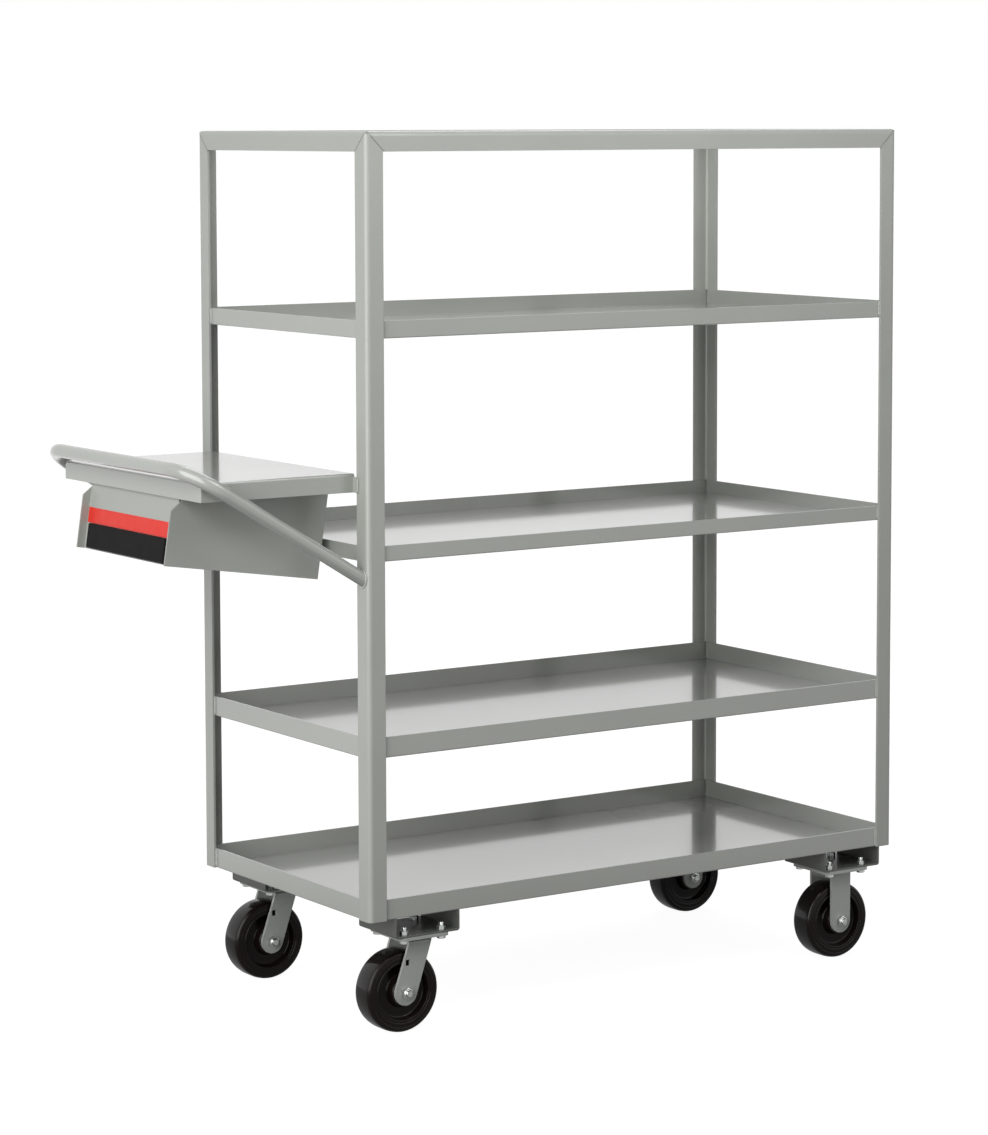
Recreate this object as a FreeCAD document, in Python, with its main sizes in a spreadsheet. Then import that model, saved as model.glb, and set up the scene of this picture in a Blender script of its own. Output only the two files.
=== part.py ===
import FreeCAD, Part
import math
import os
import Sketcher

# Order picking trolley: four folded trays in an angle-steel frame on two swivel and two rigid casters,
# with a writing shelf, a storage pocket and a push handle at the swivel end.
# Frame of reference: millimetres, +Z up, +X towards the rigid casters, origin on the floor
# under the middle of the whole trolley, handle included.

DRIVING_SIZES = {
    # Angle-steel frame
    "frame_length": 1219.2,
    "frame_width": 609.6,
    "frame_height": 1643.5,
    "angle_leg": 36.5,
    "angle_wall": 4.8,
    "angle_bend": 9.0,
    # Trays, folded from sheet, heights measured from the floor to the underside
    "tray_sheet": 2.7,
    "tray_bend": 2.4,
    "tray_two_height": 519.5,
    "tray_three_height": 875.0,
    "tray_four_height": 1275.0,
    "lip_one": 38.1,
    "lip_two": 38.1,
    "lip_three": 28.6,
    "lip_four": 31.8,
    "lip_gap_low": 16.0,
    "lip_gap_high": 5.0,
    "lip_gap_rise": 7.0,
    "corner_clearance": 1.0,
    # Short channels under the lowest tray, one at each caster
    "channel_width": 138.0,
    "channel_height": 38.1,
    "channel_wall": 3.4,
    "channel_bend": 5.0,
    "left_channel_inset": 127.0,
    "right_channel_inset": 95.0,
    "channel_margin": 13.0,
    # Caster plates and their bolts, insets measured from the outer faces of the frame
    "caster_height": 184.15,
    "swivel_inset": 123.0,
    "rigid_inset": 104.0,
    "caster_inset": 62.0,
    "plate_wall": 6.35,
    "plate_corner": 9.0,
    "bolt_span_long": 80.0,
    "bolt_span_cross": 92.0,
    "bolt_edge_long": 12.0,
    "bolt_edge_cross": 11.15,
    "bolt_radius": 4.75,
    "bolt_clearance": 0.4,
    "bolt_head_flats": 14.3,
    "bolt_head_height": 6.3,
    "bolt_nut_height": 8.3,
    "bolt_end": 6.0,
    # Forks
    "fork_wall": 5.0,
    "fork_gap": 58.0,
    "fork_leg": 47.0,
    "fork_bend": 6.0,
    "fork_head": 48.0,
    "fork_head_shift": 4.0,
    "fork_trail": 28.5,
    "crown_radius": 30.0,
    "crown_gap": 5.5,
    "brake_slot_width": 9.0,
    "brake_slot_height": 11.0,
    "brake_slot_rise": 50.0,
    "brake_slot_shift": 4.0,
    # Swivel bearing
    "kingpin_radius": 6.35,
    "kingpin_head_radius": 11.0,
    "kingpin_head_height": 5.0,
    "washer_radius": 16.0,
    "washer_wall": 2.5,
    "ball_radius": 3.0,
    "ball_pitch": 22.0,
    # Wheels and axles
    "wheel_diameter": 152.4,
    "wheel_width": 50.8,
    "tread_flat": 24.0,
    "tread_drop": 1.2,
    "shoulder_width": 4.0,
    "shoulder_drop": 5.5,
    "rim_inner": 53.0,
    "web_outer": 49.0,
    "web_inner": 30.0,
    "web_wall": 24.0,
    "hub_radius": 26.0,
    "hub_play": 0.5,
    "bore_radius": 15.0,
    "bushing_radius": 9.525,
    "roller_margin": 4.0,
    "axle_radius": 6.35,
    "axle_nut_flats": 19.05,
    "axle_nut_height": 11.0,
    "axle_head_height": 8.0,
    "axle_end": 2.0,
    "fit_clearance": 0.06,
    "lift_clearance": 0.3,
    # Push handle, bent from round tube
    "handle_tube": 25.4,
    "handle_wall": 2.1,
    "handle_reach": 345.0,
    "handle_tilt": 31.4,
    "handle_bend": 78.0,
    "handle_weld_height": 845.5,
    # Writing shelf, its top measured up from the welds of the handle
    "shelf_rise": 187.5,
    "shelf_depth": 312.0,
    "shelf_side_gap": 44.3,
    "shelf_lip": 34.0,
    "shelf_sheet": 2.7,
    "shelf_bend": 4.0,
    "shelf_tab": 15.0,
    # Storage pocket under the shelf, tilted towards the trays
    "pocket_tilt": 8.5,
    "pocket_drop": 152.0,
    "pocket_overhang": 25.5,
    "pocket_width": 340.0,
    "pocket_inner_gap": 23.6,
    "pocket_sheet": 2.7,
    "pocket_edge": 97.6,
    "pocket_chamfer": 19.0,
    "pocket_recess": 15.0,
    "pocket_back": 100.0,
    "strip_side_gap": 5.0,
    "strip_height": 28.4,
    "strip_rise": 48.2,
    "strip_wall": 0.5,
    "holder_side_gap": 21.5,
    "holder_height": 45.8,
    "holder_rise": 2.0,
    "holder_wall": 8.0,
    "holder_round": 3.0,
}

ROLLER_COUNT = 12
BALL_COUNT = 20

doc = FreeCAD.newDocument("order_picking_trolley")
sheet = doc.addObject("Spreadsheet::Sheet", "dims")
for row, (alias, number) in enumerate(DRIVING_SIZES.items(), start=1):
    sheet.set(f"A{row}", alias)
    sheet.set(f"B{row}", str(number))
    sheet.setAlias(f"B{row}", alias)
doc.recompute()


class Size:
    """A size that carries its sheet formula together with its present number."""

    def __init__(self, formula, number):
        self.formula = formula
        self.number = number

    def __add__(self, other):
        other = as_size(other)
        return Size(f"({self.formula} + {other.formula})", self.number + other.number)

    def __sub__(self, other):
        other = as_size(other)
        return Size(f"({self.formula} - {other.formula})", self.number - other.number)

    def __mul__(self, other):
        other = as_size(other)
        return Size(f"({self.formula} * {other.formula})", self.number * other.number)

    def __truediv__(self, other):
        other = as_size(other)
        return Size(f"({self.formula} / {other.formula})", self.number / other.number)

    def __radd__(self, other):
        return as_size(other) + self

    def __rsub__(self, other):
        return as_size(other) - self

    def __rmul__(self, other):
        return as_size(other) * self

    def __neg__(self):
        return Size(f"(0 - {self.formula})", -self.number)


def as_size(value):
    """Wraps a plain number as a Size."""
    if isinstance(value, Size):
        return value
    return Size(repr(float(value)), float(value))


def dim(alias):
    """A driving size read from the sheet."""
    return Size(f"dims.{alias}", float(sheet.get(alias)))


def root(value):
    return Size(f"sqrt({value.formula})", math.sqrt(value.number))


def cosine(angle):
    return Size(f"cos({angle.formula} * 1 deg)", math.cos(math.radians(angle.number)))


def sine(angle):
    return Size(f"sin({angle.formula} * 1 deg)", math.sin(math.radians(angle.number)))


def tangent(angle):
    return Size(f"tan({angle.formula} * 1 deg)", math.tan(math.radians(angle.number)))


def bind(thing, name, value):
    thing.setExpression(name, as_size(value).formula)


# Levels and places that several pieces share
ZERO = as_size(0)
overhang = dim("handle_reach") + dim("handle_tube") / 2
left_face = (overhang - dim("frame_length")) / 2
right_face = left_face + dim("frame_length")
front_face = -dim("frame_width") / 2
back_face = dim("frame_width") / 2
angle_inner_bend = dim("angle_bend") - dim("angle_wall")
tray_one_height = dim("caster_height") + dim("channel_height")
plate_under = dim("caster_height") - dim("plate_wall")
axle_height = dim("wheel_diameter") / 2
swivel_x = left_face + dim("swivel_inset")
rigid_x = right_face - dim("rigid_inset")
caster_y = dim("frame_width") / 2 - dim("caster_inset")
fork_outer = dim("fork_gap") + dim("fork_wall") * 2
shelf_height = dim("handle_weld_height") + dim("shelf_rise")
pocket_reach = dim("shelf_depth") + dim("pocket_overhang")

# Every finished piece, by node name
nodes = {}


def origin_item(body, role):
    for item in body.Origin.OriginFeatures:
        if item.Role == role:
            return item
    raise ValueError(role)


def new_body(label, place=(ZERO, ZERO, ZERO), axis=(0, 0, 1), turn=0.0):
    """Starts a body whose origin stands at the given sizes, turned about one axis."""
    body = doc.addObject("PartDesign::Body", label)
    body.Label = label
    rotation = FreeCAD.Rotation(FreeCAD.Vector(*axis), as_size(turn).number)
    body.Placement = FreeCAD.Placement(FreeCAD.Vector(0, 0, 0), rotation)
    for letter, value in zip("xyz", place):
        bind(body, f"Placement.Base.{letter}", value)
    if isinstance(turn, Size):
        bind(body, "Placement.Rotation.Angle", turn)
    nodes[label] = body
    return body


def new_sketch(body, name, plane):
    sketch = body.newObject("Sketcher::SketchObject", f"{body.Name}_{name}")
    sketch.AttachmentSupport = [(origin_item(body, plane), "")]
    sketch.MapMode = "FlatFace"
    return sketch


def pin_point(sketch, geometry, position, point):
    """Holds one sketch point at its two sizes, measured from the sketch origin."""
    for kind, value in zip(("DistanceX", "DistanceY"), point):
        value = as_size(value)
        index = sketch.addConstraint(Sketcher.Constraint(kind, geometry, position, value.number))
        sketch.setExpression(f"Constraints[{index}]", value.formula)


def add_polygon(sketch, points):
    """Draws a closed outline through the points."""
    points = [(as_size(x), as_size(y)) for x, y in points]
    vectors = [FreeCAD.Vector(x.number, y.number, 0) for x, y in points]
    first = sketch.GeometryCount
    count = len(points)
    for index in range(count):
        edge = Part.LineSegment(vectors[index], vectors[(index + 1) % count])
        sketch.addGeometry(edge, False)
    for index in range(count):
        following = first + (index + 1) % count
        sketch.addConstraint(Sketcher.Constraint("Coincident", first + index, 2, following, 1))
    for index in range(count):
        pin_point(sketch, first + index, 1, points[index])


def add_rectangle(sketch, low, high):
    add_polygon(sketch, [low, (high[0], low[1]), high, (low[0], high[1])])


def add_circle(sketch, centre, radius):
    centre = (as_size(centre[0]), as_size(centre[1]))
    middle = FreeCAD.Vector(centre[0].number, centre[1].number, 0)
    index = sketch.addGeometry(Part.Circle(middle, FreeCAD.Vector(0, 0, 1), radius.number), False)
    pin_point(sketch, index, 3, centre)
    held = sketch.addConstraint(Sketcher.Constraint("Radius", index, radius.number))
    sketch.setExpression(f"Constraints[{held}]", radius.formula)


def add_hexagon(sketch, centre, flats):
    """Draws a hexagon with two corners on the sketch's horizontal axis."""
    corner = flats / math.sqrt(3)
    half = flats / 2
    x, y = as_size(centre[0]), as_size(centre[1])
    add_polygon(sketch, [
        (x + corner, y), (x + corner / 2, y + half), (x - corner / 2, y + half),
        (x - corner, y), (x - corner / 2, y - half), (x + corner / 2, y - half),
    ])


def pad(body, sketch, length, symmetric=False, reverse=False):
    feature = body.newObject("PartDesign::Pad", f"{sketch.Name}_pad")
    feature.Profile = sketch
    bind(feature, "Length", length)
    feature.Reversed = reverse
    if symmetric:
        feature.SideType = "Symmetric"
    doc.recompute()
    return feature


def pocket(body, sketch, length, symmetric=False, reverse=False):
    """Cuts the sketch into the body and makes sure that something was cut."""
    before = body.Shape.Volume
    feature = body.newObject("PartDesign::Pocket", f"{sketch.Name}_cut")
    feature.Profile = sketch
    bind(feature, "Length", length)
    feature.Reversed = reverse
    if symmetric:
        feature.SideType = "Symmetric"
    doc.recompute()
    if body.Shape.Volume >= before:
        raise ValueError(f"{sketch.Name} cuts nothing")
    return feature


def revolve(body, sketch, kind="PartDesign::Revolution"):
    """Turns the sketch about its own vertical axis."""
    feature = body.newObject(kind, f"{sketch.Name}_turn")
    feature.Profile = sketch
    feature.ReferenceAxis = (sketch, ["V_Axis"])
    feature.Angle = 360
    doc.recompute()
    return feature


def round_edges(body, radius, wanted):
    """Rounds every straight edge of the body's last feature that the test picks by its two ends."""
    base = body.Tip
    names = []
    for index, edge in enumerate(base.Shape.Edges, start=1):
        if len(edge.Vertexes) != 2 or not isinstance(edge.Curve, Part.Line):
            continue
        if wanted(edge.Vertexes[0].Point, edge.Vertexes[1].Point):
            names.append(f"Edge{index}")
    if not names:
        raise ValueError(f"{body.Label} has no edge to round")
    feature = body.newObject("PartDesign::Fillet", f"{body.Name}_round{len(body.Group)}")
    feature.Base = (base, names)
    bind(feature, "Radius", radius)
    doc.recompute()
    return feature


NEAR = 1e-4


def both_at(axis, number):
    """A test for edges that lie where one coordinate has the given number."""
    return lambda a, b: abs(a[axis] - number) < NEAR and abs(b[axis] - number) < NEAR


def along(axis):
    """A test for edges that run along one axis."""
    others = [index for index in range(3) if index != axis]
    return lambda a, b: all(abs(a[index] - b[index]) < NEAR for index in others)


def all_of(*tests):
    return lambda a, b: all(test(a, b) for test in tests)


def any_of(*tests):
    return lambda a, b: any(test(a, b) for test in tests)


def make_post(label, x, y, turn):
    """Corner post: an angle with its heel outwards, mitred at the top for the two rails."""
    leg, wall = dim("angle_leg"), dim("angle_wall")
    length = dim("frame_height") - tray_one_height
    body = new_body(label, (x, y, tray_one_height), turn=turn)
    section = new_sketch(body, "section", "XY_Plane")
    add_polygon(section, [(0, 0), (leg, 0), (leg, wall), (wall, wall), (wall, leg), (0, leg)])
    pad(body, section, length)
    heel = all_of(along(2), both_at(0, 0.0), both_at(1, 0.0))
    round_edges(body, dim("angle_bend"), heel)
    root_edge = all_of(along(2), both_at(0, wall.number), both_at(1, wall.number))
    round_edges(body, angle_inner_bend, root_edge)
    for plane in ("XZ_Plane", "YZ_Plane"):
        cut = new_sketch(body, f"mitre_{plane[:2]}", plane)
        add_polygon(cut, [(0, length), (leg, length - leg), (leg, length)])
        pocket(body, cut, leg * 2 + wall, symmetric=True)


def make_rail(label, x, y, length, turn):
    """Top rail: an angle with one leg down the outside and one leg inwards on top."""
    leg, wall = dim("angle_leg"), dim("angle_wall")
    body = new_body(label, (x, y, dim("frame_height")), turn=turn)
    section = new_sketch(body, "section", "YZ_Plane")
    add_polygon(section, [(0, 0), (leg, 0), (leg, -wall), (wall, -wall), (wall, -leg), (0, -leg)])
    pad(body, section, length)
    heel = all_of(along(0), both_at(1, 0.0), both_at(2, 0.0))
    round_edges(body, dim("angle_bend"), heel)
    root_edge = all_of(along(0), both_at(1, wall.number), both_at(2, -wall.number))
    round_edges(body, angle_inner_bend, root_edge)
    for plane, sign in (("XY_Plane", 1), ("XZ_Plane", -1)):
        cut = new_sketch(body, f"mitre_{plane[:2]}", plane)
        add_polygon(cut, [(0, 0), (leg, leg * sign), (0, leg * sign)])
        add_polygon(cut, [(length, 0), (length, leg * sign), (length - leg, leg * sign)])
        pocket(body, cut, leg * 2 + wall, symmetric=True)


def make_frame():
    """Four posts and the open frame of four rails that ties them at the top."""
    make_post("post_front_left", left_face, front_face, 0)
    make_post("post_front_right", right_face, front_face, 90)
    make_post("post_back_right", right_face, back_face, 180)
    make_post("post_back_left", left_face, back_face, 270)
    make_rail("top_rail_front", left_face, front_face, dim("frame_length"), 0)
    make_rail("top_rail_right", right_face, front_face, dim("frame_width"), 90)
    make_rail("top_rail_back", right_face, back_face, dim("frame_length"), 180)
    make_rail("top_rail_left", left_face, back_face, dim("frame_width"), 270)


def make_tray(label, height, lip):
    """Tray: a floor with four turned-up lips, fitted inside the posts."""
    sheet_wall = dim("tray_sheet")
    half_length = dim("frame_length") / 2 - dim("angle_wall")
    half_width = dim("frame_width") / 2 - dim("angle_wall")
    body = new_body(label, ((left_face + right_face) / 2, ZERO, height))
    section = new_sketch(body, "section", "YZ_Plane")
    add_polygon(section, [
        (-half_width, 0), (half_width, 0), (half_width, lip), (half_width - sheet_wall, lip),
        (half_width - sheet_wall, sheet_wall), (sheet_wall - half_width, sheet_wall),
        (sheet_wall - half_width, lip), (-half_width, lip),
    ])
    pad(body, section, half_length * 2, symmetric=True)
    # Lips at the two ends, upright above the floor, then slanted towards the long lips
    low, high, rise = dim("lip_gap_low"), dim("lip_gap_high"), dim("lip_gap_rise")
    for name, reverse in (("left_lip", False), ("right_lip", True)):
        ends = new_sketch(body, name, "YZ_Plane")
        bind(ends, "AttachmentOffset.Base.z", half_length if reverse else -half_length)
        add_polygon(ends, [
            (low - half_width, 0), (half_width - low, 0), (half_width - low, rise),
            (half_width - high, lip), (high - half_width, lip), (low - half_width, rise),
        ])
        pad(body, ends, sheet_wall, reverse=reverse)
    outer = [
        all_of(both_at(2, 0.0), both_at(1, half_width.number)),
        all_of(both_at(2, 0.0), both_at(1, -half_width.number)),
        all_of(both_at(2, 0.0), both_at(0, half_length.number)),
        all_of(both_at(2, 0.0), both_at(0, -half_length.number)),
    ]
    # Corners stand clear of the bend inside each post
    cut = angle_inner_bend + dim("corner_clearance")
    corners = new_sketch(body, "corners", "XY_Plane")
    for side_x in (-1, 1):
        for side_y in (-1, 1):
            x, y = half_length * side_x, half_width * side_y
            add_polygon(corners, [(x, y), (x - cut * side_x, y), (x, y - cut * side_y)])
    pocket(body, corners, lip, reverse=True)
    round_edges(body, dim("tray_bend"), any_of(*outer))


def make_channel(label, x, caster_x):
    """Two short channels under the lowest tray, open upwards, each drilled for a caster plate."""
    half, wall = dim("channel_width") / 2, dim("channel_wall")
    height = dim("channel_height")
    length = dim("frame_width") - dim("angle_wall") * 2
    plate_half = dim("bolt_span_cross") / 2 + dim("bolt_edge_cross")
    half_gap = caster_y - plate_half - dim("channel_margin")
    body = new_body(label, (x, ZERO, dim("caster_height")))
    body.AllowCompound = True
    section = new_sketch(body, "section", "XZ_Plane")
    add_polygon(section, [
        (-half, 0), (half, 0), (half, height), (half - wall, height),
        (half - wall, wall), (wall - half, wall), (wall - half, height), (-half, height),
    ])
    pad(body, section, length, symmetric=True)
    bends = all_of(both_at(2, 0.0), any_of(both_at(0, half.number), both_at(0, -half.number)), along(1))
    round_edges(body, dim("channel_bend"), bends)
    gap = new_sketch(body, "gap", "XY_Plane")
    add_rectangle(gap, (-half, -half_gap), (half, half_gap))
    pocket(body, gap, height, reverse=True)
    holes = new_sketch(body, "holes", "XY_Plane")
    for side in (-1, 1):
        for place in bolt_places(caster_x - x, caster_y * side):
            add_circle(holes, place, dim("bolt_radius") + dim("bolt_clearance"))
    pocket(body, holes, wall, reverse=True)


def bolt_places(x, y):
    """The four bolt centres of a caster plate that is centred on x and y."""
    long, cross = dim("bolt_span_long") / 2, dim("bolt_span_cross") / 2
    return [(x + long * i, y + cross * j) for i in (-1, 1) for j in (-1, 1)]


def repeat_at_casters(body, features):
    """Repeats the features of one fastener at all four bolts of all four casters."""
    steps = []
    for axis, length in (("X_Axis", dim("bolt_span_long")), ("X_Axis", rigid_x - swivel_x),
                         ("Y_Axis", dim("bolt_span_cross")), ("Y_Axis", caster_y * 2)):
        step = body.newObject("PartDesign::LinearPattern", f"{body.Name}_step{len(steps) + 1}")
        step.Direction = (origin_item(body, axis), [""])
        bind(step, "Length", length)
        step.Occurrences = 2
        steps.append(step)
    group = body.newObject("PartDesign::MultiTransform", f"{body.Name}_group")
    group.Originals = features
    group.Transformations = steps
    body.Tip = group
    doc.recompute()


def make_caster_fasteners():
    """Bolts with their heads under the caster plates, and nuts inside the channels."""
    first_x, first_y = bolt_places(swivel_x, -caster_y)[0]
    web_top = dim("caster_height") + dim("channel_wall")
    bolts = new_body("caster_bolts", (first_x, first_y, plate_under))
    bolts.AllowCompound = True
    shank = new_sketch(bolts, "shank", "XY_Plane")
    add_circle(shank, (0, 0), dim("bolt_radius"))
    grip = dim("plate_wall") + dim("channel_wall")
    bolt_features = [pad(bolts, shank, grip + dim("bolt_nut_height") + dim("bolt_end"))]
    head = new_sketch(bolts, "head", "XY_Plane")
    add_hexagon(head, (0, 0), dim("bolt_head_flats"))
    bolt_features.append(pad(bolts, head, dim("bolt_head_height"), reverse=True))
    repeat_at_casters(bolts, bolt_features)
    nuts = new_body("caster_nuts", (first_x, first_y, web_top))
    nuts.AllowCompound = True
    blank = new_sketch(nuts, "blank", "XY_Plane")
    add_hexagon(blank, (0, 0), dim("bolt_head_flats"))
    add_circle(blank, (0, 0), dim("bolt_radius") + dim("fit_clearance"))
    repeat_at_casters(nuts, [pad(nuts, blank, dim("bolt_nut_height"))])


def make_plate(prefix, x, y, kingpin):
    """Caster top plate with its four bolt holes, and a kingpin hole if it swivels."""
    half_x = dim("bolt_span_long") / 2 + dim("bolt_edge_long")
    half_y = dim("bolt_span_cross") / 2 + dim("bolt_edge_cross")
    body = new_body(f"{prefix}_plate", (x, y, plate_under))
    blank = new_sketch(body, "blank", "XY_Plane")
    add_rectangle(blank, (-half_x, -half_y), (half_x, half_y))
    for place in bolt_places(ZERO, ZERO):
        add_circle(blank, place, dim("bolt_radius") + dim("bolt_clearance"))
    if kingpin:
        add_circle(blank, (0, 0), dim("kingpin_radius") + dim("fit_clearance"))
    pad(body, blank, dim("plate_wall"))
    round_edges(body, dim("plate_corner"), along(2))


def leg_outline(sketch, foot, head_low, head_high, top):
    """Draws a leg that narrows from the head's two ends onto a round foot at the axle."""
    radius = dim("fork_leg") / 2
    run = (head_low + head_high) / 2 - foot[0]
    rise = top - foot[1]
    length = root(run * run + rise * rise)
    across = (rise / length * radius, -(run / length * radius))
    add_polygon(sketch, [
        (foot[0] - across[0], foot[1] - across[1]), (foot[0] + across[0], foot[1] + across[1]),
        (head_high, top), (head_low, top),
    ])


def make_fork(prefix, x, y, trail, swivel):
    """Fork bent over the wheel: two legs joined by a crown, bored for the axle."""
    radius = dim("fork_leg") / 2
    top = plate_under - dim("crown_gap") if swivel else plate_under
    shift = dim("fork_head_shift") if swivel else ZERO
    head_low, head_high = shift - dim("fork_head") / 2, shift + dim("fork_head") / 2
    foot = (-trail, axle_height)
    crown_under = top - dim("fork_wall")
    body = new_body(f"{prefix}_fork", (x, y, ZERO))
    legs = new_sketch(body, "legs", "XZ_Plane")
    leg_outline(legs, foot, head_low, head_high, top)
    pad(body, legs, fork_outer, symmetric=True)
    shoulders = all_of(along(0), both_at(2, top.number))
    round_edges(body, dim("fork_bend"), shoulders)
    feet = new_sketch(body, "feet", "XZ_Plane")
    add_circle(feet, foot, radius)
    pad(body, feet, fork_outer, symmetric=True)
    if swivel:
        crown = new_sketch(body, "crown", "XY_Plane")
        bind(crown, "AttachmentOffset.Base.z", crown_under)
        add_circle(crown, (0, 0), dim("crown_radius"))
        pad(body, crown, dim("fork_wall"))
    gap = new_sketch(body, "gap", "YZ_Plane")
    half_gap = dim("fork_gap") / 2
    add_rectangle(gap, (-half_gap, axle_height - radius * 2), (half_gap, crown_under))
    pocket(body, gap, (radius + trail + dim("fork_head")) * 2, symmetric=True)
    bores = new_sketch(body, "bores", "XZ_Plane")
    add_circle(bores, foot, dim("axle_radius") + dim("bolt_clearance"))
    pocket(body, bores, fork_outer * 2, symmetric=True)
    if not swivel:
        return
    slots = new_sketch(body, "slots", "XZ_Plane")
    half_slot = dim("brake_slot_width") / 2
    slot_x = dim("brake_slot_shift") - trail
    slot_z = axle_height + dim("brake_slot_rise")
    add_rectangle(slots, (slot_x - half_slot, slot_z),
                  (slot_x + half_slot, slot_z + dim("brake_slot_height")))
    pocket(body, slots, fork_outer * 2, symmetric=True)
    eye = new_sketch(body, "eye", "XY_Plane")
    bind(eye, "AttachmentOffset.Base.z", crown_under)
    add_circle(eye, (0, 0), dim("kingpin_radius") + dim("fit_clearance"))
    pocket(body, eye, dim("fork_wall"), reverse=True)
    race = new_sketch(body, "race", "XZ_Plane")
    ball_height = plate_under - dim("lift_clearance") - dim("ball_radius")
    add_circle(race, (dim("ball_pitch"), ball_height), dim("ball_radius") + dim("fit_clearance"))
    revolve(body, race, "PartDesign::Groove")


def make_swivel_bearing(prefix, x, y):
    """Kingpin, thrust washer and ball ring that carry a swivel fork under its plate."""
    crown_under = plate_under - dim("crown_gap") - dim("fork_wall")
    washer_top = crown_under - dim("lift_clearance")
    head_top = washer_top - dim("washer_wall")
    head_under = head_top - dim("kingpin_head_height")
    pin_radius, head_radius = dim("kingpin_radius"), dim("kingpin_head_radius")
    pin = new_body(f"{prefix}_kingpin", (x, y, ZERO))
    half = new_sketch(pin, "half", "XZ_Plane")
    add_polygon(half, [
        (0, head_under), (head_radius, head_under), (head_radius, head_top),
        (pin_radius, head_top), (pin_radius, dim("caster_height")), (0, dim("caster_height")),
    ])
    revolve(pin, half)
    washer = new_body(f"{prefix}_thrust_washer", (x, y, head_top))
    ring = new_sketch(washer, "ring", "XY_Plane")
    add_circle(ring, (0, 0), dim("washer_radius"))
    add_circle(ring, (0, 0), pin_radius + dim("fit_clearance"))
    pad(washer, ring, dim("washer_wall"))
    balls = new_body(f"{prefix}_balls", (x, y, plate_under - dim("lift_clearance") - dim("ball_radius")))
    balls.AllowCompound = True
    first = balls.newObject("PartDesign::AdditiveSphere", f"{balls.Name}_ball")
    bind(first, "Radius", dim("ball_radius"))
    bind(first, "Placement.Base.x", dim("ball_pitch"))
    doc.recompute()
    circle = balls.newObject("PartDesign::PolarPattern", f"{balls.Name}_circle")
    circle.Originals = [first]
    circle.Axis = (origin_item(balls, "Z_Axis"), [""])
    circle.Angle = 360
    circle.Occurrences = BALL_COUNT
    balls.Tip = circle
    doc.recompute()


def make_wheel(prefix, x, y):
    """Moulded wheel: crowned tread, flat side rims, recessed web and a long hub."""
    tread, half = dim("wheel_diameter") / 2, dim("wheel_width") / 2
    flat, drop = dim("tread_flat") / 2, dim("tread_drop")
    shoulder, shoulder_drop = dim("shoulder_width"), dim("shoulder_drop")
    hub_half = dim("fork_gap") / 2 - dim("hub_play")
    web_half = dim("web_wall") / 2
    body = new_body(f"{prefix}_wheel", (x, y, axle_height))
    half_section = [
        (dim("bore_radius"), hub_half), (dim("hub_radius"), hub_half),
        (dim("web_inner"), web_half), (dim("web_outer"), web_half),
        (dim("rim_inner"), half), (tread - shoulder_drop, half),
        (tread - drop, half - shoulder), (tread, flat),
    ]
    mirrored = [(radius, -offset) for radius, offset in reversed(half_section)]
    profile = new_sketch(body, "profile", "XY_Plane")
    add_polygon(profile, half_section + mirrored)
    revolve(body, profile)


def make_axle(prefix, x, y):
    """Bushing clamped between the legs, its rollers, and the axle bolt with its nut."""
    bushing_radius = dim("bushing_radius")
    fit = dim("fit_clearance")
    bushing = new_body(f"{prefix}_bushing", (x, y, axle_height))
    tube = new_sketch(bushing, "tube", "XZ_Plane")
    add_circle(tube, (0, 0), bushing_radius)
    add_circle(tube, (0, 0), dim("axle_radius") + fit)
    pad(bushing, tube, dim("fork_gap"), symmetric=True)
    rollers = new_body(f"{prefix}_bearing_rollers", (x, y, axle_height))
    rollers.AllowCompound = True
    ring = new_sketch(rollers, "ring", "XZ_Plane")
    roller = (dim("bore_radius") - bushing_radius) / 2 - fit
    pitch = (dim("bore_radius") + bushing_radius) / 2
    for index in range(ROLLER_COUNT):
        turn = 2 * math.pi * index / ROLLER_COUNT
        add_circle(ring, (pitch * math.cos(turn), pitch * math.sin(turn)), roller)
    pad(rollers, ring, dim("wheel_width") - dim("roller_margin"), symmetric=True)
    # The head bears on the back leg and the nut on the front leg
    reach = fork_outer / 2
    bolt = new_body(f"{prefix}_axle_bolt", (x, y, axle_height))
    shank = new_sketch(bolt, "shank", "XZ_Plane")
    bind(shank, "AttachmentOffset.Base.z", -reach)
    add_circle(shank, (0, 0), dim("axle_radius"))
    pad(bolt, shank, fork_outer + dim("axle_nut_height") + dim("axle_end"))
    head = new_sketch(bolt, "head", "XZ_Plane")
    bind(head, "AttachmentOffset.Base.z", -reach)
    add_hexagon(head, (0, 0), dim("axle_nut_flats"))
    pad(bolt, head, dim("axle_head_height"), reverse=True)
    nut = new_body(f"{prefix}_axle_nut", (x, y, axle_height))
    blank = new_sketch(nut, "blank", "XZ_Plane")
    bind(blank, "AttachmentOffset.Base.z", reach)
    add_hexagon(blank, (0, 0), dim("axle_nut_flats"))
    add_circle(blank, (0, 0), dim("axle_radius") + fit)
    pad(nut, blank, dim("axle_nut_height"))


def make_casters():
    """Two swivel casters at the handle end and two rigid ones at the other end."""
    for row, side in (("front", -1), ("back", 1)):
        y = caster_y * side
        swivel = f"swivel_{row}"
        trail = dim("fork_trail")
        make_plate(swivel, swivel_x, y, True)
        make_fork(swivel, swivel_x, y, trail, True)
        make_swivel_bearing(swivel, swivel_x, y)
        make_wheel(swivel, swivel_x - trail, y)
        make_axle(swivel, swivel_x - trail, y)
        rigid = f"rigid_{row}"
        make_plate(rigid, rigid_x, y, False)
        make_fork(rigid, rigid_x, y, ZERO, False)
        make_wheel(rigid, rigid_x, y)
        make_axle(rigid, rigid_x, y)


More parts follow.
